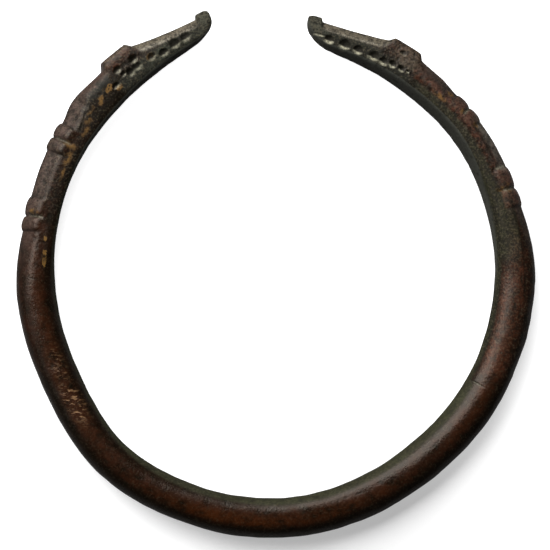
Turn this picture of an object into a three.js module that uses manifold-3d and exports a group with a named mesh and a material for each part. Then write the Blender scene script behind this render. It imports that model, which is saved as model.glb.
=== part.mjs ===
// A cast bronze bracelet: an open hoop of faceted bar whose two ends are long-snouted animal heads.
// It lies flat. Z is up, the opening faces +Y, and millimetres are used throughout.
// The hoop is one solid, swept along its inner line; the drilled hollows are cut out of it afterwards.
import * as THREE from "three";
import { mergeVertices } from "three/addons/utils/BufferGeometryUtils.js";
import Module from "manifold-3d";

// Driving dimensions

const INNER_RADIUS = 34.4; // mean radius of the inner line at the back of the hoop
const BAR_WIDTH = 6.1; // across the plain bar, from the inner line outwards
const BAR_HEIGHT = 5.9; // of the plain bar, before its underside is worn flat
const REST_WEAR = 0.09; // how much the underside is worn flat, where the bracelet lies on it

// Each limb is tangent arcs from the middle of the back to its tip: [share of INNER_RADIUS, degrees].
// The bar was bent by hand, so the two limbs differ a little from each other and from a circle.
const LEFT_BENDS = [[1.067, 29.5], [0.698, 29.5], [1.721, 10], [1.167, 15.9], [0.986, 41.8], [1.571, 26.1]];
const RIGHT_BENDS = [[0.803, 17.9], [1.2, 31], [0.925, 15.7], [1.082, 41.5], [0.839, 29.8], [1.303, 31.4]];

// Places along a limb are measured from the tip of its snout, and widths outwards from the inner line.
const HEAD = {
  muzzleHeight: 3.5, // flank to flank at the muzzle
  browHeight: 4.9, // flank to flank at the brow
  endRound: 0.8, // length over which the blunt end is rounded
  endWidth: 0.72, // of the flat at the very tip, as shares of the snout's width and height
  endHeight: 0.5,
  chinBevel: 0.4, // plan width of the slope between flank and chin
};
const KNOB = { length: 2.2, rise: 0.65, edge: 0.45 };
const BROW = { edge: 0.7, bevel: 0.6 };
const NECK = {
  height: 5.3,
  bevel: 2, // plan width of the slope between the outer face and the flank
  swellLead: 3.4, // from the neck's thickest place to the first rib
  barFull: 53, // where the bar has its full size
};
const BAR_BEVELS = { inner: 1.25, outer: 1.75 };
const BAR_EVEN = 0.7; // how much of the bar, from barFull to the back's middle, keeps its limb's own width
const WIDEST_BEVEL = 0.8; // of a section, as a share of half its width or height

// What differs from limb to limb. Ribs are [start, length]; twist, in degrees, turns the outer face up.
const LIMBS = {
  left: {
    side: -1,
    bends: LEFT_BENDS,
    brow: { start: 12, length: 5.7, rise: 1 },
    widths: { muzzle: 3.3, brow: 5.3, nape: 5.55, swell: 5.9, collar: 5.15, wrist: 4.8, bar: 6 },
    crownHollow: 1.8, // how much the line from muzzle to brow hangs: 1 is straight
    crownBevel: 1.1, // plan width of the slope between crown and flank
    chin: { rise: 2.6, run: 4 },
    ribs: [[26.8, 2.1], [29, 1.9], [37.6, 2.6], [40.3, 2]],
    ribRise: 0.4,
    barFrom: 38, // where the bar begins to thicken
    twist: { head: 1, neck: 4 },
    row: {
      first: 5.05, count: 4, pitch: 2, shrink: 1,
      width: 1.55, narrowing: 0.92,
      up: 1.7, climb: 0.04,
    },
    eyeRing: { at: 14.6, up: 3.35, radius: 1.3, count: 5, from: 158, to: 396, width: 1.1 },
    single: { at: 17.9, up: 2.6, width: 1.05 },
  },
  right: {
    side: 1,
    bends: RIGHT_BENDS,
    brow: { start: 11.7, length: 5.85, rise: 0.85 },
    widths: { muzzle: 3.65, brow: 4.9, nape: 4.85, swell: 4.8, collar: 4.45, wrist: 4.55, bar: 6.36 },
    crownHollow: 2.3,
    crownBevel: 1.3,
    chin: { rise: 3.3, run: 4.6 },
    ribs: [[24.5, 2.25], [26.9, 2.2], [36.3, 2.9], [39.4, 2.6]],
    ribRise: 0.36,
    barFrom: 36.5,
    twist: { head: 0, neck: 0 },
    row: {
      first: 3.6, count: 7, pitch: 2.6, shrink: 0.9,
      width: 1.5, narrowing: 0.93,
      up: 1.15, climb: 0.06,
    },
    eyeRing: null,
    single: { at: 14.4, up: 4, width: 0.9 },
  },
};
const HOLLOW_DEPTH = 0.38; // of a drilled hollow, as a share of its width

// The section's corners: a low power blends the facets into a round bar, a high one keeps them crisp.
const BAR_CRISPNESS = 6;
const NECK_CRISPNESS = 16;

// How finely the surface is divided
const LONG_STEP = 3;
const SHORT_STEP = 1.1;
const LEAST_STEP = 0.015;
const TIP_STATIONS = [0.02, 0.1, 0.35]; // sections on the rounded end of the snout
const RIB_STATIONS = [0, 0.1, 0.3, 0.5, 0.7, 0.9, 1]; // sections on a rib, as shares of its length
const FACET_STEPS = [2, 2, 3, 2, 2, 2, 3, 2]; // points on each of the eight facets of a section
const HOLLOW_SEGMENTS = 8;
const HOLLOW_RINGS = 5;

// Small maths helpers

const clamp01 = (x) => Math.min(1, Math.max(0, x));
const ease = (x) => clamp01(x) ** 2 * (3 - 2 * clamp01(x));
const between = (a, b, share) => a + (b - a) * share;
const radians = THREE.MathUtils.degToRad;

// The value at t of a line eased through stops of [t, value].
function through(stops, t) {
  if (t <= stops[0][0]) return stops[0][1];
  for (let i = 1; i < stops.length; i++) {
    const [t0, v0] = stops[i - 1];
    const [t1, v1] = stops[i];
    if (t <= t1) return between(v0, v1, ease((t - t0) / (t1 - t0)));
  }
  return stops[stops.length - 1][1];
}

// A flat-topped bump from start, with edges that rise over edge.
const plateau = (t, start, length, edge) => ease((t - start) / edge) * ease((start + length - t) / edge);

// A quarter of a circle: 0 at 0, rising steeply at first and level at 1.
const quarterRound = (x) => Math.sqrt(1 - (1 - clamp01(x)) ** 2);

// A round bump, like half a bead.
function bead(t, start, length) {
  const x = (t - start - length / 2) / (length / 2);
  return Math.abs(x) < 1 ? Math.sqrt(1 - x * x) : 0;
}

// The inner line of one limb from the middle of the back to the tip, as a function of distance
function limbLine({ bends, side }) {
  const arcs = [];
  let start = new THREE.Vector2(0, -INNER_RADIUS);
  let heading = side > 0 ? 0 : Math.PI;
  let length = 0;
  for (const [share, degrees] of bends) {
    const radius = share * INNER_RADIUS;
    const normal = heading + (side * Math.PI) / 2;
    const inward = new THREE.Vector2(Math.cos(normal), Math.sin(normal));
    const centre = start.clone().add(inward.multiplyScalar(radius));
    arcs.push({ from: length, radius, centre, heading });
    length += radius * radians(degrees);
    heading += side * radians(degrees);
    const back = new THREE.Vector2(-side * Math.sin(heading), side * Math.cos(heading));
    start = centre.clone().sub(back.multiplyScalar(radius));
  }
  // The point at a distance from the back's middle, and the direction there that points away from the hoop.
  const at = (distance) => {
    const arc = arcs.findLast((a) => distance >= a.from) ?? arcs[0];
    const turned = arc.heading + (side * (distance - arc.from)) / arc.radius;
    const outward = new THREE.Vector2(side * Math.sin(turned), -side * Math.cos(turned));
    return { point: arc.centre.clone().addScaledVector(outward, arc.radius), outward };
  };
  return { at, length };
}

// The outer line of one limb without its raised ornament, as stops of [t, width].
function outlineOf({ widths, brow, barFrom, ribs }, length) {
  const firstRib = ribs[0][0];
  return [
    [KNOB.length, widths.muzzle],
    [brow.start, widths.brow],
    [brow.start + brow.length, widths.nape],
    [firstRib - NECK.swellLead, widths.swell],
    [firstRib, widths.collar],
    [barFrom, widths.wrist],
    [NECK.barFull, widths.bar],
    [between(NECK.barFull, length, BAR_EVEN), widths.bar],
    [length, BAR_WIDTH],
  ];
}

// The size of the section at t from the tip: everything that changes along a limb.
function sectionAt(limb, t) {
  const { brow, widths, ribs, twist } = limb;
  const alongCrown = clamp01((t - KNOB.length) / (brow.start - KNOB.length));
  const crown = between(widths.muzzle, widths.brow, alongCrown ** limb.crownHollow);
  const width = t < brow.start ? crown : through(limb.outline, t);
  const raised =
    KNOB.rise * ease((KNOB.length - t) / KNOB.edge) +
    brow.rise * plateau(t, brow.start, brow.length, BROW.edge) +
    limb.ribRise * ribs.reduce((sum, [start, length]) => sum + bead(t, start, length), 0);
  // The blunt end is rounded off over its last stretch, and the chin sweeps up to meet it.
  const end = quarterRound(t / HEAD.endRound);
  const chin = limb.chin.rise * (1 - quarterRound(t / limb.chin.run));
  const outer = chin + (width + raised - chin) * between(HEAD.endWidth, 1, end);
  const intoNeck = ease((t - brow.start) / brow.length);
  const intoBar = ease((t - limb.barFrom) / (NECK.barFull - limb.barFrom));
  const onBrow = plateau(t, brow.start - BROW.edge, brow.length + 2 * BROW.edge, 2 * BROW.edge);
  const headHeight = between(HEAD.muzzleHeight, HEAD.browHeight, clamp01(t / brow.start));
  const height = between(between(headHeight, NECK.height, intoNeck), BAR_HEIGHT, intoBar);
  const slope = between(between(limb.crownBevel, NECK.bevel, intoNeck), BROW.bevel, onBrow);
  return {
    inner: chin,
    outer,
    halfHeight: (height / 2) * between(HEAD.endHeight, 1, end),
    outerBevel: between(slope, BAR_BEVELS.outer, intoBar),
    innerBevel: between(HEAD.chinBevel, BAR_BEVELS.inner, intoBar),
    crispness: between(NECK_CRISPNESS, BAR_CRISPNESS, intoBar),
    twist: radians(between(twist.head, twist.neck, intoNeck) * (1 - intoBar)),
  };
}

// The closed section as [outward, up] pairs: eight facets 45 degrees apart, blended at their corners.
// The distance to the surface is a power mean of those to the facets, so a high power makes crisp corners.
function sectionPoints(section) {
  const a = (section.outer - section.inner) / 2;
  const b = section.halfHeight;
  const widest = WIDEST_BEVEL * Math.min(a, b);
  const bevelled = (cut) => (a + b - Math.min(cut, widest)) / Math.SQRT2;
  const o = bevelled(section.outerBevel);
  const i = bevelled(section.innerBevel);
  const facets = [a, o, b, i, a, i, b, o];
  const quarter = Math.PI / 4;
  const corner = (k) => {
    const [d0, d1] = [facets[k], facets[(k + 1) % 8]];
    return k * quarter + Math.atan2(d1 - d0 * Math.cos(quarter), d0 * Math.sin(quarter));
  };
  const points = [];
  facets.forEach((_, k) => {
    const from = corner((k + 7) % 8) - (k === 0 ? 2 * Math.PI : 0);
    const to = corner(k);
    for (let n = 0; n < FACET_STEPS[k]; n++) {
      const angle = between(from, to, n / FACET_STEPS[k]);
      const sum = facets.reduce(
        (total, d, m) => total + Math.max(0, Math.cos(angle - m * quarter) / d) ** section.crispness,
        0,
      );
      const reach = sum ** (-1 / section.crispness);
      points.push([reach * Math.cos(angle), reach * Math.sin(angle)]);
    }
  });
  // The blend pulls the facets in a little, so the section is stretched back to its stated size.
  const far = Math.max(...points.map((p) => p[0]));
  const near = Math.min(...points.map((p) => p[0]));
  const top = Math.max(...points.map((p) => p[1]));
  return points.map(([u, v]) => [section.inner + ((u - near) / (far - near)) * 2 * a, (v / top) * b]);
}

// A section's point in space: out from the inner line, up from the middle height, turned by the twist.
function place(line, t, section, [u, v]) {
  const { point, outward } = line.at(line.length - t);
  const middle = (section.inner + section.outer) / 2;
  const out = middle + (u - middle) * Math.cos(section.twist) - v * Math.sin(section.twist);
  const up = (u - middle) * Math.sin(section.twist) + v * Math.cos(section.twist);
  const z = Math.max(up, REST_WEAR - BAR_HEIGHT / 2);
  return new THREE.Vector3(point.x + outward.x * out, point.y + outward.y * out, z);
}

// Where along a limb the sections stand: close together at each change of shape, wide apart on the bar.
function stationsOf({ brow, ribs }, length) {
  const browEnd = brow.start + brow.length;
  const marks = [
    ...TIP_STATIONS,
    HEAD.endRound,
    KNOB.length - KNOB.edge,
    KNOB.length,
    brow.start,
    brow.start + BROW.edge,
    browEnd - BROW.edge,
    browEnd,
    ribs[0][0] - NECK.swellLead,
    ...ribs.flatMap(([start, long]) => RIB_STATIONS.map((share) => start + share * long)),
    NECK.barFull,
    length,
  ];
  const stations = [0];
  for (const mark of marks.sort((x, y) => x - y)) {
    const last = stations[stations.length - 1];
    const gap = mark - last;
    const step = mark > NECK.barFull ? LONG_STEP : SHORT_STEP;
    const steps = gap < LEAST_STEP ? 0 : Math.ceil(gap / step);
    for (let n = 1; n <= steps; n++) stations.push(last + (gap * n) / steps);
  }
  return stations;
}

// The hoop as one closed mesh: rings of section points from the left tip round to the right tip.
function hoopGeometry(lines) {
  const rings = [];
  for (const [name, limb] of Object.entries(LIMBS)) {
    const line = lines[name];
    const ring = (t) => {
      const section = sectionAt(limb, t);
      return sectionPoints(section).map((p) => place(line, t, section, p));
    };
    const made = stationsOf(limb, line.length).map(ring);
    if (limb.side < 0) rings.push(...made);
    else rings.push(...made.reverse().slice(1));
  }
  const around = rings[0].length;
  const position = rings.flat().flatMap((p) => [p.x, p.y, p.z]);
  const index = [];
  for (let r = 0; r + 1 < rings.length; r++) {
    for (let k = 0; k < around; k++) {
      const [a, b] = [r * around + k, r * around + ((k + 1) % around)];
      const [c, d] = [a + around, b + around];
      index.push(a, d, b, a, c, d);
    }
  }
  for (const [ring, turn] of [[0, 1], [rings.length - 1, -1]]) {
    const centre = rings[ring].reduce((sum, p) => sum.add(p), new THREE.Vector3()).divideScalar(around);
    const hub = position.length / 3;
    position.push(centre.x, centre.y, centre.z);
    for (let k = 0; k < around; k++) {
      const [a, b] = [ring * around + k, ring * around + ((k + 1) % around)];
      index.push(...(turn > 0 ? [hub, a, b] : [hub, b, a]));
    }
  }
  const geometry = new THREE.BufferGeometry();
  geometry.setAttribute("position", new THREE.Float32BufferAttribute(position, 3));
  geometry.setIndex(index);
  return geometry;
}

// The drilled hollows of one head as { at, up, width }, the row along the mouth first.
function hollowsOf({ row, eyeRing, single }) {
  const hollows = [];
  let at = row.first;
  for (let n = 0; n < row.count; n++) {
    hollows.push({ at, up: row.up + row.climb * (at - row.first), width: row.width * row.narrowing ** n });
    at += row.pitch * row.shrink ** n;
  }
  if (eyeRing) {
    for (let n = 0; n < eyeRing.count; n++) {
      const angle = radians(between(eyeRing.from, eyeRing.to, n / (eyeRing.count - 1)));
      hollows.push({
        at: eyeRing.at + eyeRing.radius * Math.cos(angle),
        up: eyeRing.up + eyeRing.radius * Math.sin(angle),
        width: eyeRing.width,
      });
    }
  }
  hollows.push(single);
  return hollows;
}

// How high the flank stands at a distance out from the inner line.
function flankHeight(points, u) {
  const upper = points.filter(([, v]) => v > 0).sort((p, q) => p[0] - q[0]);
  const next = upper.findIndex(([x]) => x >= u);
  if (next <= 0) return upper[0][1];
  const [[u0, v0], [u1, v1]] = [upper[next - 1], upper[next]];
  return between(v0, v1, (u - u0) / (u1 - u0));
}

// The round-nosed tools that cut one head's hollows, into both flanks.
function hollowTools(limb, line) {
  return hollowsOf(limb).flatMap(({ at, up, width }) => {
    const depth = HOLLOW_DEPTH * width;
    const radius = (width * width) / (8 * depth) + depth / 2;
    const section = sectionAt(limb, at);
    const height = flankHeight(sectionPoints(section), up) + radius - depth;
    return [1, -1].map((flank) => {
      const centre = place(line, at, section, [up, flank * height]);
      return new THREE.SphereGeometry(radius, HOLLOW_SEGMENTS, HOLLOW_RINGS).rotateX(Math.PI / 2)
        .translate(centre.x, centre.y, centre.z);
    });
  });
}

// A closed mesh as a solid that can be joined and cut.
function solidOf(wasm, geometry) {
  const bare = geometry.clone();
  bare.deleteAttribute("normal");
  bare.deleteAttribute("uv");
  const merged = mergeVertices(bare, 1e-4);
  return new wasm.Manifold(
    new wasm.Mesh({
      numProp: 3,
      vertProperties: merged.attributes.position.array,
      triVerts: new Uint32Array(merged.index.array),
    }),
  );
}

function geometryOf(solid) {
  const { vertProperties, triVerts } = solid.getMesh();
  const geometry = new THREE.BufferGeometry();
  geometry.setAttribute("position", new THREE.BufferAttribute(vertProperties, 3));
  geometry.setIndex(new THREE.BufferAttribute(triVerts, 1));
  geometry.computeVertexNormals();
  return geometry;
}

// The bracelet

const wasm = await Module();
wasm.setup();

const lines = Object.fromEntries(Object.entries(LIMBS).map(([name, limb]) => [name, limbLine(limb)]));
for (const [name, limb] of Object.entries(LIMBS)) limb.outline = outlineOf(limb, lines[name].length);
let cast = solidOf(wasm, hoopGeometry(lines));
for (const [name, limb] of Object.entries(LIMBS)) {
  for (const tool of hollowTools(limb, lines[name])) cast = cast.subtract(solidOf(wasm, tool));
}

const bronze = new THREE.MeshStandardMaterial({ color: 0x3d2a20, roughness: 0.45, metalness: 0.75 });
const bracelet = new THREE.Mesh(geometryOf(cast), bronze);
bracelet.name = "bracelet";

// The origin is the middle of the hoop's box, on the surface that it lies on.
bracelet.geometry.computeBoundingBox();
const box = bracelet.geometry.boundingBox;
const middle = box.getCenter(new THREE.Vector3());
bracelet.position.set(-middle.x, -middle.y, -box.min.z);

const model = new THREE.Group();
model.add(bracelet);

export default model;
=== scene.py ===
"""The looks of a cast bronze bracelet: an open hoop whose two ends are long-snouted animal heads.

The script runs inside Blender as an add-on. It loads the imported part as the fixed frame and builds, from
almost the same named sizes, a finer skin over it with the carving, wear, patina and earth of the real one.
It also sets up the white table, the lights and the camera. Sizes are in millimetres until the mesh is made.
"""

import math

import bpy
import numpy as np
from mathutils import Matrix, Vector, noise


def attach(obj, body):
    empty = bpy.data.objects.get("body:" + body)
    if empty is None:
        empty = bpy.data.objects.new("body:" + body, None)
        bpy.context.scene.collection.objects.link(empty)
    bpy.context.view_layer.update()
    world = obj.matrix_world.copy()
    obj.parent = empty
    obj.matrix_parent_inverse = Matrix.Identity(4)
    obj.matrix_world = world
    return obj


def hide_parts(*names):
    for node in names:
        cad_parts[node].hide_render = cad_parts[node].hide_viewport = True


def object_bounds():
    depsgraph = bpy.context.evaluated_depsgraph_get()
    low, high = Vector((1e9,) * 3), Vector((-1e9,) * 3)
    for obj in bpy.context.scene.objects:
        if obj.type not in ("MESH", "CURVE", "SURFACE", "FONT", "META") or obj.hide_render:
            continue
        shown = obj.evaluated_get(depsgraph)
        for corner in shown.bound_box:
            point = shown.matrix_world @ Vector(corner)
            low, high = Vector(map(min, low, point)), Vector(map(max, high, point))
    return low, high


bl_info = {
    "name": "Bronze bracelet",
    "version": (1, 0, 0),
    "blender": (4, 5, 0),
    "location": "3D View > Sidebar > Bracelet",
    "description": "Builds the looks of a cast bronze bracelet around its packed part",
    "category": "Object",
}

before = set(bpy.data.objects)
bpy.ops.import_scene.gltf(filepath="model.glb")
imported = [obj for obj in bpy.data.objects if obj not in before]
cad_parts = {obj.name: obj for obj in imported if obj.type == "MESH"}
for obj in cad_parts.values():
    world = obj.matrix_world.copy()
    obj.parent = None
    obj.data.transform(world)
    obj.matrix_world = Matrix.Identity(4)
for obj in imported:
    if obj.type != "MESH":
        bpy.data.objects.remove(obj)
CAD_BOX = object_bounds()

MM = 0.001

# The sizes of the hoop, in millimetres: the part's, but with softer edges on brow, neck and bar

INNER_RADIUS = 34.4
BAR_WIDTH = 6.1
BAR_HEIGHT = 5.9
REST_WEAR = 0.09
HEAD = {
    "muzzle_height": 3.5,
    "brow_height": 4.9,
    "end_round": 0.8,
    "end_width": 0.72,
    "end_height": 0.5,
    "chin_bevel": 0.4,
}
KNOB = {"length": 2.2, "rise": 0.65, "edge": 0.45}
BROW = {"edge": 1.0, "bevel": 0.6}
NECK = {"height": 5.3, "swell_lead": 3.4, "bar_full": 53.0}
BAR_BEVELS = {"inner": 1.4, "outer": 1.65, "inner_more": 0.6}
BAR_EVEN = 0.7
WIDEST_BEVEL = 0.8
BAR_CRISPNESS = 6
NECK_CRISPNESS = 13

# A stretch along or across a limb is four places: where it begins, is full, is still full and has ended.
# Places along are measured from the snout's tip, and places across outwards from the inner line.
INNER_MORE = (40.0, 54.0, 80.0, 94.0)  # where the bar's inner facet is widest
SPLAYED = (1.0, 7.0, 36.0, 62.0)  # where the inner wall leans
# The snout's worn ridge also carries a painted highlight there.
HIGHLIGHTED_RIDGE = (2.2, 3.2, 11.2, 12.2)  # where the snout's ridge is worn bright
BELOW = (-9.0, -8.0)  # the two places of a stretch that begins inside the inner line
ABOVE = (8.0, 9.0)  # the two places of a stretch that ends outside the limb
ACROSS = (*BELOW, *ABOVE)

# The inner wall of heads and necks leans inwards at its foot by this much.
WALL_SPLAY = 0.42

# The carving and the wear

HOLLOW_DEPTH = 0.26  # as a share of the hollow's width
RIM_HEIGHT = 0.02
RIB_END_RISE = 0.55  # as a share of the rib's rise
GROOVE_DEPTH = 0.14
SLIT_DEPTH = 0.08
SEAM_DEPTH = 0.03
PIT_DEPTH = 0.05
DENT_DEPTH = 0.16
TOP_WEAR = 0.08

# Lumps are (size, height on head and neck, height on the bar, seed).
LUMPS = ((7.0, 0.0, 0.1, 3.1), (2.2, 0.04, 0.06, 8.7), (0.55, 0.022, 0.012, 5.3))

# How far the head's finish reaches
HEAD_FINISH_END = 18.5

# How strong the rust and the pale wear with its painted sheen are along a limb, as (place, strength)
RUST_ALONG = ((16.0, 0.0), (22.0, 0.45), (34.0, 0.45), (48.0, 1.0))
WEAR_AND_SHEEN_ALONG = ((11.7, 0.9), (12.2, 0.45), (38.0, 0.45), (50.0, 0.0))

# How wide the patina on the bar is before and after the place where it spreads
BAR_PATINA = (0.7, 1.35)

# Stains, and stretches of painted shade and highlight, are each (strength, stretch along, stretch across,
# (kind of grain, the grain's share)).
COMMON_STAINS_AND_SHADE = {
    "rust": ((0.6, (11.8, 12.5, 17.1, 17.8), (3.0, 3.8, *ABOVE), ("even", 0.0)),),
    # The dark stretch on the bar's outer lower slope is painted shade where the slope faces away from the
    # light.
    "dark": ((1.0, (52.0, 66.0, 200.0, 201.0), (4.0, 5.0, *ABOVE), ("even", 0.0)),),
}

# Bends are (share of INNER_RADIUS, degrees) from the middle of the back, and ribs are (start, length).
# Hollows are (at, up, width), grooves (at, up, width), slits (at, up, length, width, share filled) and seams
# (start, stop, up at the start, up at the stop). Patches are (at, up, length, width, strength).
LIMBS = {
    "left": {
        "side": -1,
        "bends": ((1.067, 29.5), (0.698, 29.5), (1.721, 10), (1.167, 15.9), (0.986, 41.8), (1.571, 26.1)),
        "brow": {"start": 12.0, "length": 5.7, "rise": 1.0},
        "widths": {
            "muzzle": 3.3,
            "brow": 5.3,
            "nape": 5.55,
            "swell": 5.9,
            "collar": 5.15,
            "wrist": 4.8,
            "bar": 6.0,
        },
        "crown_hollow": 1.8,
        "crown_bevel": 1.1,
        "chin": {"rise": 2.6, "run": 4.0},
        "ribs": ((26.8, 2.1), (29.0, 1.9), (37.6, 2.6), (40.3, 2.0)),
        "rib_rise": 0.4,
        "rib_reach": (2.4, 2.0, 2.4, 2.5),
        "rib_red": 0.15,
        "rib_rust": 0.0,
        "grooves": ((28.95, 2.0, 0.22), (40.2, 2.3, 0.2)),
        "bar_from": 38.0,
        "twist": {"head": 1.0, "neck": 4.0},
        "neck_slope": (
            (17.5, 1.0),
            (21.5, 1.2),
            (24.0, 2.45),
            (29.0, 2.9),
            (32.0, 2.2),
            (36.0, 2.1),
            (40.0, 2.3),
        ),
        "seams": ((21.8, 26.8, 4.2, 2.15),),
        "row": ((5.05, 1.7, 1.6), (6.9, 1.65, 1.5), (9.1, 1.5, 1.4), (11.1, 2.15, 1.15)),
        "eye": (
            (13.4, 3.6, 1.3),
            (13.6, 2.4, 1.2),
            (15.0, 2.4, 1.2),
            (16.15, 4.1, 1.15),
            (15.95, 2.95, 0.8),
        ),
        "single": (17.9, 2.55, 1.05),
        "silt_and_highlight": 0.42,
        "single_silt_and_highlight": 0.42,
        "slits": (),
        "dented": (),
        "grainy": (16.0, 24.0, 36.0, 44.0),
        "wear_and_sheen_share": ((0.0, 1.0),),
        "bar_patina_from": (60.0, 90.0),
        "head_patina": ((0.0, 3.2),),
        "stains_and_light": {
            "dark": ((0.6, (12.5, 15.5, 23.5, 26.5), (*BELOW, 3.4, 4.4), ("even", 0.0)),),
            "red": ((0.5, (12.0, 14.0, 21.0, 23.0), (4.3, 4.8, *ABOVE), ("broad", 1.0)),),
        },
        "patches": {
            "earth": (
                (19.2, 3.1, 2.6, 1.4, 1.0),
                (21.2, 2.7, 4.0, 1.3, 1.0),
                (23.9, 2.3, 3.0, 1.5, 1.0),
                (17.8, 2.0, 1.4, 1.0, 1.0),
                (26.2, 1.6, 2.0, 0.9, 1.0),
                (29.1, 2.4, 1.2, 2.4, 1.0),
                (30.9, 1.8, 2.6, 1.2, 1.0),
                (33.4, 1.6, 2.4, 0.6, 1.0),
                (43.2, 1.7, 1.2, 0.7, 1.0),
                (45.9, 1.6, 4.2, 0.9, 1.0),
                (11.2, 2.2, 1.4, 1.2, 1.0),
                (39.6, 4.0, 0.8, 1.6, 1.0),
            ),
            "flaked": ((67.5, 2.8, 8.0, 3.2, 1.0), (62.0, 2.6, 8.0, 2.6, 0.45)),
            "glow": ((97.0, 3.7, 34.0, 3.2, 0.9), (62.0, 3.0, 44.0, 3.0, 0.5)),
            "blotch": ((19.6, 4.1, 6.4, 2.4, 1.0),),
        },
    },
    "right": {
        "side": 1,
        "bends": ((0.803, 17.9), (1.2, 31), (0.925, 15.7), (1.082, 41.5), (0.839, 29.8), (1.303, 31.4)),
        "brow": {"start": 11.7, "length": 5.85, "rise": 0.85},
        "widths": {
            "muzzle": 3.65,
            "brow": 4.9,
            "nape": 4.85,
            "swell": 4.8,
            "collar": 4.45,
            "wrist": 4.55,
            "bar": 6.36,
        },
        "crown_hollow": 2.3,
        "crown_bevel": 1.3,
        "chin": {"rise": 3.3, "run": 4.6},
        "ribs": ((24.5, 2.25), (26.9, 2.2), (36.3, 2.9), (39.4, 2.6)),
        "rib_rise": 0.36,
        "rib_reach": (2.2, 2.3, 1.3, 1.4),
        "rib_red": 1.0,
        "rib_rust": 0.9,
        "grooves": ((26.8, 2.6, 0.2), (39.25, 1.2, 0.22), (36.0, 1.6, 0.25)),
        "bar_from": 36.5,
        "twist": {"head": 0.0, "neck": 0.0},
        "neck_slope": ((17.5, 1.2), (21.0, 1.7), (24.0, 2.1), (36.0, 2.0), (40.0, 2.2)),
        "seams": ((28.0, 36.4, 2.75, 2.8), (40.5, 56.0, 3.0, 4.6)),
        "row": (
            (3.6, 1.12, 1.45),
            (6.15, 1.05, 1.6),
            (8.3, 1.1, 1.45),
            (10.9, 1.3, 1.45),
            (12.5, 1.3, 1.2),
            (14.0, 1.6, 1.1),
            (15.5, 1.65, 0.95),
            (16.5, 1.9, 0.55),
        ),
        "eye": (),
        "single": (14.4, 4.0, 0.85),
        "silt_and_highlight": 1.0,
        "single_silt_and_highlight": 0.15,
        "slits": ((1.9, 1.3, 2.2, 0.5, 0.7), (69.1, 1.4, 0.35, 3.2, 0.2)),
        "dented": (((54.0, 57.0, 65.0, 68.0), (4.2, 5.4, *ABOVE)),),
        "grainy": (16.0, 24.0, 62.0, 70.0),
        "wear_and_sheen_share": ((12.0, 1.0), (14.0, 0.55), (27.0, 0.55), (30.0, 0.85)),
        "bar_patina_from": (69.0, 69.6),
        "head_patina": ((11.0, 3.0), (13.0, 2.1)),
        "stains_and_light": {
            "green": (
                (1.0, (37.0, 40.0, 48.0, 51.0), (*BELOW, 3.3, 3.8), ("fine", 0.7)),
                (1.0, (15.0, 19.0, 43.0, 47.0), (*BELOW, 1.2, 1.9), ("fine", 0.8)),
            ),
            "dark": ((0.85, (3.0, 5.0, 18.0, 20.0), (*BELOW, 2.0, 2.5), ("even", 0.0)),),
            "pale": ((0.5, (12.0, 15.0, 41.0, 44.0), (1.8, 2.6, *ABOVE), ("fine", 0.6)),),
            # A painted light on the right neck's outer slope, which faces away from the lamps.
            "crest_highlight": ((0.6, (27.5, 29.0, 36.0, 37.5), ACROSS, ("even", 0.0)),),
            "red": (
                (1.0, (16.0, 18.0, 36.0, 38.0), (1.15, 2.15, 2.65, 3.65), ("specks", 1.0)),
                (0.6, (45.0, 49.0, 65.0, 69.0), (0.95, 2.75, 3.65, 5.45), ("broad", 0.6)),
                (0.3, (12.0, 13.0, 18.0, 19.0), (2.2, 2.8, *ABOVE), ("fine", 0.6)),
                # A lighter reddish band along the right bar's inner facet: reddish bronze with a painted
                # highlight.
                (0.9, (49.0, 53.0, 64.6, 68.6), (0.5, 0.9, 1.4, 2.0), ("even", 0.0)),
            ),
        },
        "patches": {
            "earth": (
                (23.5, 3.6, 1.4, 0.9, 1.0),
                (22.6, 2.0, 3.0, 0.9, 1.0),
                (29.2, 3.2, 1.2, 1.0, 1.0),
                (39.1, 3.35, 1.6, 1.0, 1.0),
                (26.5, 2.9, 0.9, 1.2, 1.0),
                (39.0, 2.0, 0.8, 1.6, 1.0),
            ),
            "flaked": (),
            "glow": ((103.0, 3.3, 40.0, 3.2, 0.6), (62.0, 3.0, 44.0, 3.0, 0.5)),
            "blotch": (),
        },
    },
}

# How finely the skin is divided: points on each of the section's eight facets, from the outer face over the
# top to the inner face and back below, and the step along the limb up to a place
FACET_STEPS = (10, 16, 28, 8, 8, 6, 16, 8)
STEPS = ((18.0, 0.1), (44.0, 0.14), (58.0, 0.5), (68.3, 0.35), (69.9, 0.1), (200.0, 0.65))
FIRST_STATIONS = (0.0, 0.02, 0.05)

# Small maths helpers


def clamp01(x):
    return np.clip(x, 0.0, 1.0)


def ease(x):
    """0 below 0, 1 above 1, and a smooth slope between."""
    x = clamp01(x)
    return x * x * (3 - 2 * x)


def between(a, b, share):
    return a + (b - a) * share


def window(x, stretch):
    """1 in the middle of a stretch, fading to 0 at both its ends."""
    begins, full, still_full, ended = stretch
    return ease((x - begins) / (full - begins)) * ease((ended - x) / (ended - still_full))


def quarter_round(x):
    """A quarter of a circle: 0 at 0, rising steeply at first and level at 1."""
    return np.sqrt(1 - (1 - clamp01(x)) ** 2)


def bead(t, start, length):
    """A round bump, like half a bead."""
    x = (t - start - length / 2) / (length / 2)
    return np.sqrt(np.maximum(0, 1 - x * x))


def bell(x, wide):
    """1 at 0, fading to nothing on both sides."""
    return np.exp(-((x / wide) ** 2))


def spot(t, u, at, up, long, wide):
    """1 in the middle of an oval patch, fading to 0 at its edge."""
    return ease(1.25 - np.hypot((t - at) / (long / 2), (u - up) / (wide / 2)))


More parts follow.
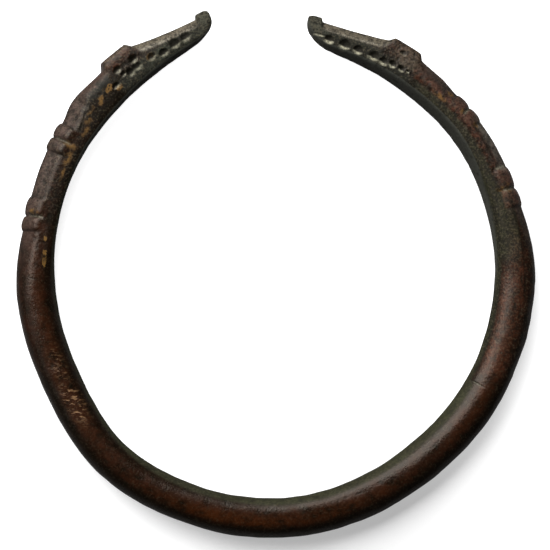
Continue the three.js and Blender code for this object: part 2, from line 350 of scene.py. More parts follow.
def through(stops, t):
    """The value at t of a line eased through stops of (t, value)."""
    value = np.full_like(t, stops[0][1])
    for (t0, v0), (t1, v1) in zip(stops, stops[1:]):
        value = np.where(t > t0, between(v0, v1, ease((t - t0) / (t1 - t0))), value)
    return value


def noise_at(points, size, seed):
    """Smooth noise from -1 to 1 at each point, its lumps about size across."""
    flat = points.reshape(-1, 3) / size + seed
    return np.array([noise.noise(Vector(p)) for p in flat]).reshape(points.shape[:-1])


# The shape of the hoop


def arcs_of(limb):
    """The inner line of a limb as tangent arcs, and its length."""
    side = limb["side"]
    start = np.array([0.0, -INNER_RADIUS])
    heading = 0.0 if side > 0 else math.pi
    arcs, length = [], 0.0
    for share, degrees in limb["bends"]:
        radius = share * INNER_RADIUS
        normal = heading + side * math.pi / 2
        centre = start + radius * np.array([math.cos(normal), math.sin(normal)])
        arcs.append({"from": length, "radius": radius, "centre": centre, "heading": heading})
        length += radius * math.radians(degrees)
        heading += side * math.radians(degrees)
        start = centre - radius * np.array([-side * math.sin(heading), side * math.cos(heading)])
    return arcs, length


def line_at(limb, arcs, distance):
    """Points on the inner line and the directions there that point away from the hoop."""
    side = limb["side"]
    point = np.zeros(distance.shape + (2,))
    outward = np.zeros_like(point)
    for arc in arcs:
        turned = arc["heading"] + side * (distance - arc["from"]) / arc["radius"]
        direction = np.stack([side * np.sin(turned), -side * np.cos(turned)], -1)
        here = (distance >= arc["from"])[..., None]
        outward = np.where(here, direction, outward)
        point = np.where(here, arc["centre"] + arc["radius"] * direction, point)
    return point, outward


def width_at(limb, length, t):
    """The width of the section at each t from the tip, without the knob, brow and ribs."""
    brow, widths = limb["brow"], limb["widths"]
    first_rib = limb["ribs"][0][0]
    stops = (
        (KNOB["length"], widths["muzzle"]),
        (brow["start"], widths["brow"]),
        (brow["start"] + brow["length"], widths["nape"]),
        (first_rib - NECK["swell_lead"], widths["swell"]),
        (first_rib, widths["collar"]),
        (limb["bar_from"], widths["wrist"]),
        (NECK["bar_full"], widths["bar"]),
        (between(NECK["bar_full"], length, BAR_EVEN), widths["bar"]),
        (length, BAR_WIDTH),
    )
    along_crown = clamp01((t - KNOB["length"]) / (brow["start"] - KNOB["length"]))
    crown = between(widths["muzzle"], widths["brow"], along_crown ** limb["crown_hollow"])
    return np.where(t < brow["start"], crown, through(stops, t))


def raised_at(limb, t):
    """How far the knob, the brow and the ribs stand out at each t from the tip."""
    start, end, edge = limb["brow"]["start"], limb["brow"]["start"] + limb["brow"]["length"], BROW["edge"]
    raised = KNOB["rise"] * ease((KNOB["length"] - t) / KNOB["edge"])
    raised = raised + limb["brow"]["rise"] * window(t, (start, start + edge, end - edge, end))
    for rib_start, long in limb["ribs"]:
        raised = raised + limb["rib_rise"] * bead(t, rib_start, long)
    return raised


def section_at(limb, length, t):
    """The size of the section at each t from the tip."""
    brow, twist = limb["brow"], limb["twist"]
    brow_end, edge = brow["start"] + brow["length"], BROW["edge"]
    width = width_at(limb, length, t) + raised_at(limb, t)
    end = quarter_round(t / HEAD["end_round"])
    chin = limb["chin"]["rise"] * (1 - quarter_round(t / limb["chin"]["run"]))
    into_neck = ease((t - brow["start"]) / brow["length"])
    into_bar = ease((t - limb["bar_from"]) / (NECK["bar_full"] - limb["bar_from"]))
    on_brow = window(t, (brow["start"] - edge, brow["start"] + edge, brow_end - edge, brow_end + edge))
    head_height = between(HEAD["muzzle_height"], HEAD["brow_height"], clamp01(t / brow["start"]))
    height = between(between(head_height, NECK["height"], into_neck), BAR_HEIGHT, into_bar)
    inner_bevel = BAR_BEVELS["inner"] + BAR_BEVELS["inner_more"] * window(t, INNER_MORE)
    neck_slope = through(limb["neck_slope"], t)
    slope = between(between(limb["crown_bevel"], neck_slope, into_neck), BROW["bevel"], on_brow)
    return {
        "inner": chin,
        "outer": chin + (width - chin) * between(HEAD["end_width"], 1, end),
        "half_height": height / 2 * between(HEAD["end_height"], 1, end),
        "outer_bevel": between(slope, BAR_BEVELS["outer"], into_bar),
        "inner_bevel": between(HEAD["chin_bevel"], inner_bevel, into_bar),
        "crispness": between(NECK_CRISPNESS, BAR_CRISPNESS, into_bar),
        "twist": np.radians(between(twist["head"], twist["neck"], into_neck) * (1 - into_bar)),
    }


def section_points(section):
    """Where the points round each section are, outwards and upwards: eight facets with blended corners."""
    a = (section["outer"] - section["inner"]) / 2
    b = section["half_height"]
    widest = WIDEST_BEVEL * np.minimum(a, b)
    outer_cut = (a + b - np.minimum(section["outer_bevel"], widest)) / math.sqrt(2)
    inner_cut = (a + b - np.minimum(section["inner_bevel"], widest)) / math.sqrt(2)
    facets = [a, outer_cut, b, inner_cut, a, inner_cut, b, outer_cut]
    eighth = math.pi / 4

    def corner(k):
        d0, d1 = facets[k], facets[(k + 1) % 8]
        return k * eighth + np.arctan2(d1 - d0 * math.cos(eighth), d0 * math.sin(eighth))

    angles = []
    for k, steps in enumerate(FACET_STEPS):
        start = corner((k + 7) % 8) - (2 * math.pi if k == 0 else 0)
        angles += [between(start, corner(k), n / steps) for n in range(steps)]
    angle = np.stack(angles, -1)
    power = section["crispness"][:, None]
    total = sum(np.maximum(0, np.cos(angle - m * eighth) / d[:, None]) ** power for m, d in enumerate(facets))
    reach = total ** (-1 / power)
    u, v = reach * np.cos(angle), reach * np.sin(angle)
    near, far = u.min(1, keepdims=True), u.max(1, keepdims=True)
    u = section["inner"][:, None] + (u - near) / (far - near) * 2 * a[:, None]
    return u, v / v.max(1, keepdims=True) * b[:, None]


def stations_of(length):
    """Places along a limb where a ring of points stands, closest together on the head."""
    places = list(FIRST_STATIONS)
    while places[-1] < length:
        step = next(size for limit, size in STEPS if places[-1] < limit)
        places.append(places[-1] + step)
    return np.array(places) * length / places[-1]


# The carving: each part gives its height above the skin, and where painted shade and pale silt with a painted
# highlight lie in it, from 0 to 1


def drilled(limb, t, u, on_flank, uneven):
    """The drilled hollows, each with a low rim, painted shade on its far side and pale silt with a painted
    highlight on its near edge, which faces the light.
    """
    height, shade, silt_and_highlight = np.zeros((3,) + t.shape)
    hollows = [(*hollow, limb["silt_and_highlight"]) for hollow in (*limb["row"], *limb["eye"])]
    hollows.append((*limb["single"], limb["single_silt_and_highlight"]))
    for at, up, width, filled in hollows:
        radius = width / 2
        near = (up - u) / radius
        out = np.hypot((t - at) / 1.15, u - up) / radius * uneven
        bowl = np.maximum(0, 1 - out**2) * on_flank
        height += RIM_HEIGHT * bell(out - 1.25, 0.3) * on_flank - HOLLOW_DEPTH * width * bowl
        shade = np.maximum(shade, ease(bowl * 3.0) * (1 - ease((near - 0.4) / 0.35)))
        # The near edge faces the light: pale silt and a painted highlight.
        near_edge = bell(out - 0.7, 0.32) * ease((near - 0.15) / 0.4) * on_flank
        silt_and_highlight = np.maximum(silt_and_highlight, near_edge * filled)
    return height, shade, silt_and_highlight


def ribbed(limb, t, u, on_flank):
    """The ribs' ends on the flanks, and the shade along both sides of each rib."""
    height, shade, silt_and_highlight = np.zeros((3,) + t.shape)
    for (start, long), reach in zip(limb["ribs"], limb["rib_reach"]):
        over_ridge = ease((u - reach) / 1.3) * on_flank
        height += RIB_END_RISE * limb["rib_rise"] * ease(bead(t, start, long)) * over_ridge
        for edge in (start, start + long):
            shade = np.maximum(shade, 0.55 * bell(t - edge, 0.17) * ease((u - 2.4) / 0.8))
    return height, shade, silt_and_highlight


def grooved(limb, t, u, on_flank):
    """The grooves beside the ribs, which keep as much silt as the hollows do."""
    height, shade, silt_and_highlight = np.zeros((3,) + t.shape)
    for at, up, wide in limb["grooves"]:
        groove = bell(t - at, wide) * ease((u - up) / 0.5) * on_flank
        height -= GROOVE_DEPTH * groove
        shade = np.maximum(shade, (1 - limb["silt_and_highlight"]) * groove)
        silt_and_highlight = np.maximum(silt_and_highlight, 0.45 * limb["silt_and_highlight"] * groove * ease((u - 2.2) / 0.5))
    return height, shade, silt_and_highlight


def slit(limb, t, u, on_flank):
    """Short slits and cracks, each filled with silt by its own share."""
    height, shade, silt_and_highlight = np.zeros((3,) + t.shape)
    for at, up, long, wide, filled in limb["slits"]:
        cut = spot(t, u, at, up, long, wide) * on_flank
        height -= SLIT_DEPTH * cut
        shade = np.maximum(shade, 0.9 * cut * (1 - filled))
        silt_and_highlight = np.maximum(silt_and_highlight, filled * spot(t, u, at, up - 0.1, long, wide * 0.7) * on_flank)
    return height, shade, silt_and_highlight


def seamed(limb, t, u, on_flank):
    """The dark lines along the ridges, each (start, stop, up at the start, up at the stop)."""
    height, shade, silt_and_highlight = np.zeros((3,) + t.shape)
    for start, stop, from_up, to_up in limb["seams"]:
        off_seam = u - between(from_up, to_up, (t - start) / (stop - start))
        seam = bell(off_seam, 0.2) * window(t, (start, start + 1, stop - 1, stop)) * on_flank
        height -= SEAM_DEPTH * seam
        shade = np.maximum(shade, 0.7 * seam)
    return height, shade, silt_and_highlight


def carve(limb, t, u, on_flank, points):
    """The height of all the carving, and where painted shade and pale silt with painted highlights lie in it.
    """
    uneven = 1 + 0.3 * noise_at(points, 0.9, 15.0)
    carving = [drilled(limb, t, u, on_flank, uneven)]
    carving += [part(limb, t, u, on_flank) for part in (ribbed, grooved, slit, seamed)]
    heights, shades, silts_and_highlights = zip(*carving)
    return sum(heights), np.maximum.reduce(shades), np.maximum.reduce(silts_and_highlights)


def weather(limb, t, u, v, half, points):
    """The height of the lumps, dents and pits that wear and corrosion left, and where the pits are."""
    on_head = ease((19 - t) / 6)
    on_bar = ease((t - 40) / 12)
    height = np.zeros_like(t)
    for size, in_front, at_back, seed in LUMPS:
        height += between(in_front, at_back, on_bar) * noise_at(points, size, seed)
    # The highest and lowest parts are worn down, so that no lump stands above the stated height.
    height -= TOP_WEAR * on_bar * (v / half) ** 4
    pits = clamp01((noise_at(points, 0.8, 21.0) - 0.38) / 0.2) * ease((t - KNOB["length"]) / 2)
    height -= PIT_DEPTH * pits * between(0.5, 1.0, on_head)
    for along, across in limb["dented"]:
        height += DENT_DEPTH * noise_at(points, 1.9, 33.0) * window(t, along) * window(u, across)
    return height, pits


# Where the finishes lie on the skin, from 0 to 1


def patched(t, u, patches):
    """The strongest of some oval patches at each point."""
    strongest = np.zeros_like(t)
    for at, up, long, wide, strength in patches:
        strongest = np.maximum(strongest, strength * spot(t, u, at, up, long, wide))
    return strongest


def stains_and_light_at(name, limb, t, u, grain):
    """The strongest of a finish's stains and stretches of painted shade and light at each point."""
    strongest = np.zeros_like(t)
    for strength, along, across, (kind, share) in COMMON_STAINS_AND_SHADE.get(name, ()) + limb["stains_and_light"].get(name, ()):
        stain = strength * window(t, along) * window(u, across) * between(1.0, grain[kind], share)
        strongest = np.maximum(strongest, stain)
    return strongest


def facet_shares(t, around):
    """How far each point is on the upper outer slope, on the ridge above it and on the inner wall."""
    columns = np.arange(around) - FACET_STEPS[0]
    ridge = FACET_STEPS[1] + 1
    fade_to_ridge = between(8.0, 2.0, ease((14 - t) / 4))
    on_slope = ease((columns + 3) / 4) * ease((ridge - columns) / fade_to_ridge)
    on_ridge = bell(columns - ridge, 2.5)
    wall_from = sum(FACET_STEPS[1:3]) + FACET_STEPS[3] * ease((t - 28) / 10)
    wall_to = sum(FACET_STEPS[1:6])
    on_wall = ease((columns - wall_from) / 2) * ease((wall_to - columns) / 2)
    return on_slope, on_ridge, on_wall


def head_share(t):
    """How far each point has the head's finish."""
    return ease((HEAD_FINISH_END - t) / 2)


def knob_share(t):
    """How far each point has the knob's finish."""
    return ease((KNOB["length"] + 0.4 - t) / 0.6)


def patina(limb, t, u, grain):
    """The green patina on the inner slopes of bar and head and on the knob."""
    begins, full = limb["bar_patina_from"]
    bar_width = between(*BAR_PATINA, ease((t - begins) / (full - begins)))
    bar = ease((bar_width - u) / 0.6) * (0.6 + 0.6 * grain["broad"])
    head = ease(through(limb["head_patina"], t) - u) * (0.6 + 0.5 * grain["fine"]) * head_share(t)
    return np.maximum.reduce([bar, head, knob_share(t), stains_and_light_at("green", limb, t, u, grain)])


def finishes(limb, t, u, v, half, points):
    """Where each finish lies on the skin of a limb."""
    broad = noise_at(points, 5.0, 40.0) * 0.5 + 0.5
    fine = noise_at(points, 0.7, 61.0) * 0.5 + 0.5
    grain = {"even": 1.0, "broad": broad, "fine": fine, "specks": ease((fine - 0.35) / 0.3)}
    stains_and_light = {name: stains_and_light_at(name, limb, t, u, grain) for name in ("dark", "rust", "pale", "red", "crest_highlight")}
    patches = {name: patched(t, u, rows) for name, rows in limb["patches"].items()}
    upper = ease(v / half * 2)
    on_slope, on_ridge, on_wall = facet_shares(t, u.shape[1])
    on_ribs = sum(bead(t, start, long) > 0 for start, long in limb["ribs"])
    rust = through(RUST_ALONG, t) * between(1.0, broad, 0.65) * ease((u - 1.2) / 1.2)
    rib_rust = limb["rib_rust"] * on_ribs * ease((u - 1.6) / 0.6)
    rib_red = limb["rib_red"] * on_ribs * ease((u - 1.7) / 0.5) * between(1.0, broad, 0.5)
    blotch = patches["blotch"] * ease((fine - 0.2) / 0.3)
    # Pale wear on the upper outer slopes; on the necks it also stands in for the sheen where a slope faces
    # the light, a painted sheen.
    worn = through(WEAR_AND_SHEEN_ALONG, t) * through(limb["wear_and_sheen_share"], t) * (1 - knob_share(t))
    pale = on_slope * worn * (1 - 0.6 * blotch)
    # A painted highlight along the snout's worn ridge.
    crest_highlight = on_ridge * window(t, HIGHLIGHTED_RIDGE)
    masks = {
        "green": patina(limb, t, u, grain),
        "rust": np.maximum.reduce([rust, rib_rust, stains_and_light["rust"]]),
        "pale": np.maximum.reduce([pale, crest_highlight, 0.2 * knob_share(t), stains_and_light["pale"]]),
        "crest_highlight": np.maximum(crest_highlight, on_slope * stains_and_light["crest_highlight"]),
        "red": np.maximum(rib_red, stains_and_light["red"]),
        "dark": stains_and_light["dark"],
        "earth": patches["earth"] * ease((fine + 0.5 * broad - 0.52) / 0.3) * upper,
        "flaked": patches["flaked"] * upper,
        "glow": patches["glow"],
        "blotch": blotch,
        # The grey inner wall: grey-green patina and a painted reflection of the white table.
        "wall": on_wall * ease((60 - t) / 14),
        "head": head_share(t),
        "neck": window(t, limb["grainy"]),
    }
    return {name: clamp01(values) for name, values in masks.items()}


# The skin


def normals_of(points):
    """The directions square to the skin that point out of it."""
    along = np.gradient(points, axis=0)
    around = (np.roll(points, -1, 1) - np.roll(points, 1, 1)) / 2
    normal = np.cross(around, along)
    return normal / np.maximum(np.linalg.norm(normal, axis=-1, keepdims=True), 1e-12)


def limb_skin(limb):
    """The rings of points of one limb, from its tip to the middle of the back, and its finishes' masks."""
    arcs, length = arcs_of(limb)
    stations = stations_of(length)
    section = section_at(limb, length, stations)
    u, v = section_points(section)
    t = np.repeat(stations[:, None], u.shape[1], 1)
    middle = ((section["inner"] + section["outer"]) / 2)[:, None]
    turn = section["twist"][:, None]
    half = section["half_height"][:, None]
    inner_share = (section["outer"][:, None] - u) / (section["outer"] - section["inner"])[:, None]
    foot_share = (1 - v / half) / 2
    splayed = u - WALL_SPLAY * window(t, SPLAYED) * inner_share * foot_share
    out = middle + (splayed - middle) * np.cos(turn) - v * np.sin(turn)
    up = (splayed - middle) * np.sin(turn) + v * np.cos(turn)
    point, outward = line_at(limb, arcs, length - stations)
    plan = point[:, None, :] + outward[:, None, :] * out[..., None]
    points = np.concatenate([plan, up[..., None]], -1)
    on_flank = ease((np.abs(v) / half - 0.3) / 0.3)
    normal = normals_of(points) * limb["side"]
    height, shade, silt_and_highlight = carve(limb, t, u, on_flank, points)
    worn, pits = weather(limb, t, u, v, half, points)
    points = points + normal * (height + worn)[..., None]
    points[..., 2] = np.maximum(points[..., 2], REST_WEAR - BAR_HEIGHT / 2)
    masks = finishes(limb, t, u, v, half, points)
    # Painted shade in the hollows, grooves, slits, seams, beside the ribs and in the pits.
    masks["hollow"] = clamp01(np.maximum(shade, 0.7 * pits))
    masks["silt_and_highlight"] = clamp01(silt_and_highlight)
    return points, masks


def hoop_skin():
    """The whole skin from the left tip to the right tip as a grid of points, with its masks."""
    left, left_masks = limb_skin(LIMBS["left"])
    right, right_masks = limb_skin(LIMBS["right"])
    left[-1] = (left[-1] + right[-1]) / 2
    points = np.concatenate([left, right[::-1][1:]])
    masks = {name: np.concatenate([left_masks[name], right_masks[name][::-1][1:]]) for name in left_masks}
    return points, masks


def grid_mesh(name, points, masks):
    """A closed tube of points as a mesh, its ends filled, with each mask as an attribute."""
    rings, around = points.shape[:2]
    ends = [points[0].mean(0), points[-1].mean(0)]
    vertices = np.concatenate([points.reshape(-1, 3), ends])
    ring = np.arange(rings * around).reshape(rings, around)
    a, b = ring[:-1], np.roll(ring, -1, 1)[:-1]
    c, d = ring[1:], np.roll(ring, -1, 1)[1:]
    faces = np.stack([a, c, d, b], -1).reshape(-1, 4).tolist()
    first, last = ring[0], ring[-1]
    faces += [[len(vertices) - 2, int(p), int(q)] for p, q in zip(first, np.roll(first, -1))]
    faces += [[len(vertices) - 1, int(q), int(p)] for p, q in zip(last, np.roll(last, -1))]
    mesh = bpy.data.meshes.new(name)
    mesh.from_pydata(vertices.tolist(), [], faces)
    for mask, values in masks.items():
        attribute = mesh.attributes.new(mask, "FLOAT", "POINT")
        full = np.concatenate([values.reshape(-1), [values[0].mean(), values[-1].mean()]])
        attribute.data.foreach_set("value", full.astype(np.float32))
    mesh.shade_smooth()
    return mesh


# Shader expressions


class Value:
    """A node's output that can be used in a Python expression."""

    def __init__(self, nodes, socket):
        self.nodes = nodes
        self.socket = socket

    def maths(self, operation, first, second, clamp=False):
        settings = {"operation": operation, "use_clamp": clamp}
        return self.nodes.add("ShaderNodeMath", settings, {0: first, 1: second})

    def __add__(self, other):
        return self.maths("ADD", self, other)

    __radd__ = __add__

    def __sub__(self, other):
        return self.maths("SUBTRACT", self, other)

    def __rsub__(self, other):
        return self.maths("SUBTRACT", other, self)

    def __mul__(self, other):
        return self.maths("MULTIPLY", self, other)

    __rmul__ = __mul__

    def clamped(self):
        return self.maths("ADD", self, 0.0, clamp=True)

    def above(self, low, high):
        """0 below low, 1 above high, and a smooth slope between."""
        settings = {"interpolation_type": "SMOOTHSTEP"}
        return self.nodes.add("ShaderNodeMapRange", settings, {0: self, 1: low, 2: high})


class Nodes:
    """A node tree that is written as expressions."""

    def __init__(self, tree):
        self.tree = tree
        tree.nodes.clear()

    def add(self, kind, settings=None, inputs=None, output=0):
        """A node of that kind, its settings made before its inputs, as the value of one of its outputs."""
        node = self.tree.nodes.new(kind)
        for name, value in (settings or {}).items():
            setattr(node, name, value)
        for name, value in (inputs or {}).items():
            if isinstance(value, Value):
                self.tree.links.new(value.socket, node.inputs[name])
            else:
                node.inputs[name].default_value = value
        return Value(self, node.outputs[output])

    def attribute(self, name):
        return self.add("ShaderNodeAttribute", {"attribute_name": name}, output="Fac")

    def place(self):
        """The place on the object."""
        return self.add("ShaderNodeTexCoord", output="Object")

    def noise(self, position, size, detail=3.0, roughness=0.55):
        """Noise from about 0 to 1, its lumps about size metres across."""
        inputs = {"Vector": position, "Scale": 1 / size, "Detail": detail, "Roughness": roughness}
        return self.add("ShaderNodeTexNoise", None, inputs)

    def strokes(self, position, turn):
        """Short thin strokes that run one way."""
        inputs = {"Vector": position, "Rotation": (0, 0, turn), "Scale": (1, 4, 1)}
        stretched = self.add("ShaderNodeMapping", None, inputs)
        return self.noise(stretched, 0.0012).above(0.59, 0.65)

    def mix(self, share, first, second):
        """A mix of two colours, which are the Mix node's seventh and eighth inputs and third output."""
        return self.add("ShaderNodeMix", {"data_type": "RGBA"}, {0: share, 6: first, 7: second}, output=2)

    def end(self, shader):
        """Leads a shader to the surface."""
        output = self.tree.nodes.new("ShaderNodeOutputMaterial")
        self.tree.links.new(shader.socket, output.inputs["Surface"])


def colour(red, green, blue):
    """A colour for a shader from its values on a screen, from 0 to 255."""
    channels = [c / 255 for c in (red, green, blue)]
    return (*(c / 12.92 if c <= 0.04045 else ((c + 0.055) / 1.055) ** 2.4 for c in channels), 1.0)


def grey(value):
    return (value, value, value, 1.0)


# The bronze

COLOURS = {
    "deep_bronze": colour(11, 6, 2),
    "amber": colour(54, 23, 3),
    "head_patina": colour(42, 46, 38),
    "shade": colour(6, 5, 2),
    # The head's pale wear, also used for the painted highlight on its ridge.
    "head_wear_and_sheen": colour(94, 87, 74),
    "copper": colour(82, 45, 30),
    "blotch": colour(20, 24, 22),
    # A painted highlight on ridges and slopes.
    "crest_highlight": colour(128, 124, 112),
    "dark_fleck": colour(12, 12, 9),
    "pale_grit": colour(70, 64, 50),
    "dark_grit": colour(9, 9, 6),
    # The inner wall's grey: patina and a painted reflection of the table.
    "wall": colour(56, 57, 52),
    "flake": colour(104, 78, 52),
    # Painted shade in hollows and pits.
    "hollow": colour(8, 8, 4),
    # Pale silt, with a painted highlight on the hollows' near edges.
    "silt_and_highlight": colour(146, 142, 122),
}
MASKS = (
    "green",
    "rust",
    "pale",
    "crest_highlight",
    "red",
    "dark",
    "earth",
    "flaked",
    "glow",
    "blotch",
    "wall",
    "head",
    "neck",
    "hollow",
    "silt_and_highlight",
)


def grains(nodes):
    """The sizes of grain in the bronze's surface, coarse to fine."""
    place = nodes.place()
    return {
        "broad": nodes.noise(place, 0.006),
        "patchy": nodes.noise(place, 0.0016, 5.0, 0.6),
        "mottled": nodes.noise(place, 0.0009, 3.0, 0.7),
        "fine": nodes.noise(place, 0.0004),
        "grit": nodes.noise(place, 0.0003, 2.0),
        "strokes": nodes.strokes(place, 0.2) + nodes.strokes(place, 1.2) + nodes.strokes(place, 2.3),
    }


def metal_colour(nodes, settings, mask, grain):
    """Dark brown bronze, redder on the bar, with green patina, pale faces that are worn and carry a painted
    sheen, painted shade on the bar's outer lower slope, darker parts of the head and neck flanks and a
    painted highlight on the ridges.
    """
    patchy = grain["patchy"]
    base = nodes.mix(patchy.above(0.25, 0.75), COLOURS["deep_bronze"], settings.bronze)
    warm = (mask["rust"] * (0.5 + grain["broad"])).clamped() * patchy.above(0.2, 0.75)
    base = nodes.mix(warm * 0.85, base, settings.rust)
    base = nodes.mix(mask["glow"] * patchy.above(0.15, 0.7) * 0.85, base, COLOURS["amber"])
    patina_tint = nodes.mix(mask["head"], settings.patina, COLOURS["head_patina"])
    base = nodes.mix((mask["green"] * (0.3 + patchy * 1.1)).clamped(), base, patina_tint)
    # Painted shade on the bar's outer lower slope, and darker on parts of the head and neck flanks.
    base = nodes.mix(mask["dark"] * 0.75, base, COLOURS["shade"])
    # Pale wear, with a painted sheen on the necks' outer slopes and a painted highlight on the ridges.
    wear_and_sheen_tint = nodes.mix(mask["head"], settings.worn, COLOURS["head_wear_and_sheen"])
    base = nodes.mix((mask["pale"] * (0.5 + patchy * 0.8)).clamped(), base, wear_and_sheen_tint)
    # Reddish bronze, which on the right bar's inner facet also stands in for a highlight.
    base = nodes.mix((mask["red"] * (0.3 + patchy * 0.9)).clamped() * 0.65, base, COLOURS["copper"])
    base = nodes.mix(mask["blotch"] * 0.85, base, COLOURS["blotch"])
    # A painted highlight on the ridges and on the right neck's outer slope.
    return nodes.mix(mask["crest_highlight"] * patchy.above(0.3, 0.6) * 0.5, base, COLOURS["crest_highlight"])


def soiled_colour(nodes, settings, mask, grain, flakes, base):
    """The metal's colour with flecks, grit, a grey inner wall of patina and painted table reflection, earth,
    flakes, painted shade in the hollows and pale silt with a painted highlight on it.
    """
    grit, mottled = grain["grit"], grain["mottled"]
    rugged = (mask["head"] + mask["neck"] * 0.8 + mask["green"] * 0.3).clamped()
    base = nodes.mix((1 - mottled.above(0.4, 0.54)) * (0.1 + rugged * 0.6), base, COLOURS["dark_fleck"])
    base = nodes.mix(grit.above(0.52, 0.66) * (0.15 + rugged * 0.3), base, COLOURS["pale_grit"])
    base = nodes.mix((1 - grit.above(0.36, 0.5)) * (0.25 + rugged * 0.45), base, COLOURS["dark_grit"])
    # The grey inner wall: grey-green patina and a painted reflection of the white table.
    base = nodes.mix(mask["wall"] * (0.6 + grain["patchy"] * 0.4), base, COLOURS["wall"])
    # Earth lies in crisp crusts on the bar and as a thin film in front of it.
    in_front = (mask["head"] + mask["neck"]).clamped()
    crust = (mask["earth"] + mottled * 1.6).above(1.2, 1.4) * (1 - in_front)
    film = mask["earth"] * in_front * 0.8
    base = nodes.mix((crust + film) * grit.above(0.3, 0.5), base, settings.earth)
    base = nodes.mix(flakes, base, COLOURS["flake"])
    # Painted shade in the hollows and pits.
    base = nodes.mix((mask["hollow"] * 0.85).clamped(), base, COLOURS["hollow"])
    # Pale silt, with a painted highlight on the hollows' near edges that face the light.
    return nodes.mix(mask["silt_and_highlight"] * (0.3 + grit.above(0.35, 0.6) * 0.6), base, COLOURS["silt_and_highlight"])


def bronze_roughness(mask, grain):
    """Satin on the bar, duller on patina, earth, head and neck."""
    metal = 0.16 + grain["patchy"] * 0.12 + grain["mottled"] * 0.14
    crusts = mask["green"] * 0.4 + mask["earth"] * 0.3
    worn = mask["pale"] * 0.15 + mask["blotch"] * 0.25
    return (metal + crusts + worn + mask["head"] * 0.1 + mask["neck"] * 0.1).clamped()


def bronze_material(settings):
    """Worn bronze: dark brown, redder on the bar, olive on inner slopes and heads, with earth in places."""
    material = bpy.data.materials.new("bronze")
    material.use_nodes = True
    nodes = Nodes(material.node_tree)
    grain = grains(nodes)
    mask = {name: nodes.attribute(name) for name in MASKS}
    flakes = (mask["flaked"] * grain["strokes"]).clamped() * grain["patchy"].above(0.33, 0.48)
    metal = metal_colour(nodes, settings, mask, grain)
    grainy = grain["fine"] * 0.7 + grain["patchy"] * 0.5 + grain["mottled"] * 0.7
    surface = grainy + grain["grit"] * (0.7 + mask["head"] * 0.5) - flakes * 0.8
    inputs = {
        "Base Color": soiled_colour(nodes, settings, mask, grain, flakes, metal),
        "Roughness": bronze_roughness(mask, grain),
        "Metallic": 0.2,
        "Specular IOR Level": 0.2,
        "Specular Tint": (1.0, 0.9, 0.8, 1.0),
        "Normal": nodes.add("ShaderNodeBump", None, {"Strength": 0.4, "Distance": 0.0001, "Height": surface}),
    }
    nodes.end(nodes.add("ShaderNodeBsdfPrincipled", None, inputs))
    return material


# The stage: the table's half width and its gap to the bracelet, in metres, and its tones for camera and piece

TABLE_REACH = 2.0
TABLE_GAP = 0.00002
TABLE_SEEN = 0.56
TABLE_THROWN_BACK = 0.16


def add_table():
    """A flat white table."""
    mesh = bpy.data.meshes.new("table")
    corners = [(x * TABLE_REACH, y * TABLE_REACH, 0) for x, y in ((-1, -1), (1, -1), (1, 1), (-1, 1))]
    mesh.from_pydata(corners, [], [(0, 1, 2, 3)])
    mesh.materials.append(table_material())
    table = bpy.data.objects.new("table", mesh)
    table.location.z = -TABLE_GAP
    bpy.context.scene.collection.objects.link(table)


def table_material():
    """Matt white that the camera sees overexposed, most of all at the back, and that lights the piece less.

    The glow is seen by the camera alone.
    """
    material = bpy.data.materials.new("table_white")
    material.use_nodes = True
    nodes = Nodes(material.node_tree)
    seen = nodes.add("ShaderNodeLightPath", output="Is Camera Ray")
    tone = nodes.mix(seen, grey(TABLE_THROWN_BACK), grey(TABLE_SEEN))
    matt = nodes.add("ShaderNodeBsdfDiffuse", None, {"Color": tone})
    place = nodes.place()
    across = nodes.add("ShaderNodeSeparateXYZ", None, {0: place}, output="X")
    away = nodes.add("ShaderNodeSeparateXYZ", None, {0: place}, output="Y")
    # The glow is painted light on the table: strongest at the back, fading towards the front and a little
    # weaker to the right, so cast shadows look darker at the front right.
    to_back = away.above(-0.075, -0.01) * 0.73 + away.above(0.0, 0.03) * 0.25
    to_right = across.above(0.005, 0.025)
    glow = nodes.add("ShaderNodeEmission", None, {"Strength": seen * to_back * (1 - to_right * 0.15)})
    nodes.end(nodes.add("ShaderNodeAddShader", None, {0: matt, 1: glow}))
    return material


def add_light(name, place, size, power):
    """A soft rectangular light that faces the bracelet."""
    light = bpy.data.lights.new(name, "AREA")
    light.shape = "RECTANGLE"
    light.size, light.size_y = size
    light.energy = power
    lamp = bpy.data.objects.new(name, light)
    lamp.location = place
    lamp.rotation_euler = (-Vector(place)).to_track_quat("-Z", "Y").to_euler()
    bpy.context.scene.collection.objects.link(lamp)


def add_world(strength):
    """Even white surroundings."""
    world = bpy.data.worlds.new("studio")
    world.use_nodes = True
    background = world.node_tree.nodes["Background"]
    background.inputs["Color"].default_value = grey(1.0)
    background.inputs["Strength"].default_value = strength
    bpy.context.scene.world = world


def add_camera(settings):
    """The camera, high above the bracelet and leaning a little to the lower left of the view."""
    lean, towards = settings.lean, settings.towards
    back = Vector((math.sin(lean) * math.cos(towards), math.sin(lean) * math.sin(towards), math.cos(lean)))
    right = Vector((0, 1, 0)).cross(back).normalized()
    up = back.cross(right)
    data = bpy.data.cameras.new("camera")
    data.lens = data.sensor_width * settings.distance / settings.across
    data.clip_start = 0.01
    camera = bpy.data.objects.new("camera", data)
    camera.matrix_world = Matrix((right, up, back)).transposed().to_4x4()
    camera.location = Vector(settings.aim) + back * settings.distance
    bpy.context.scene.collection.objects.link(camera)
    bpy.context.scene.camera = camera


# The add-on


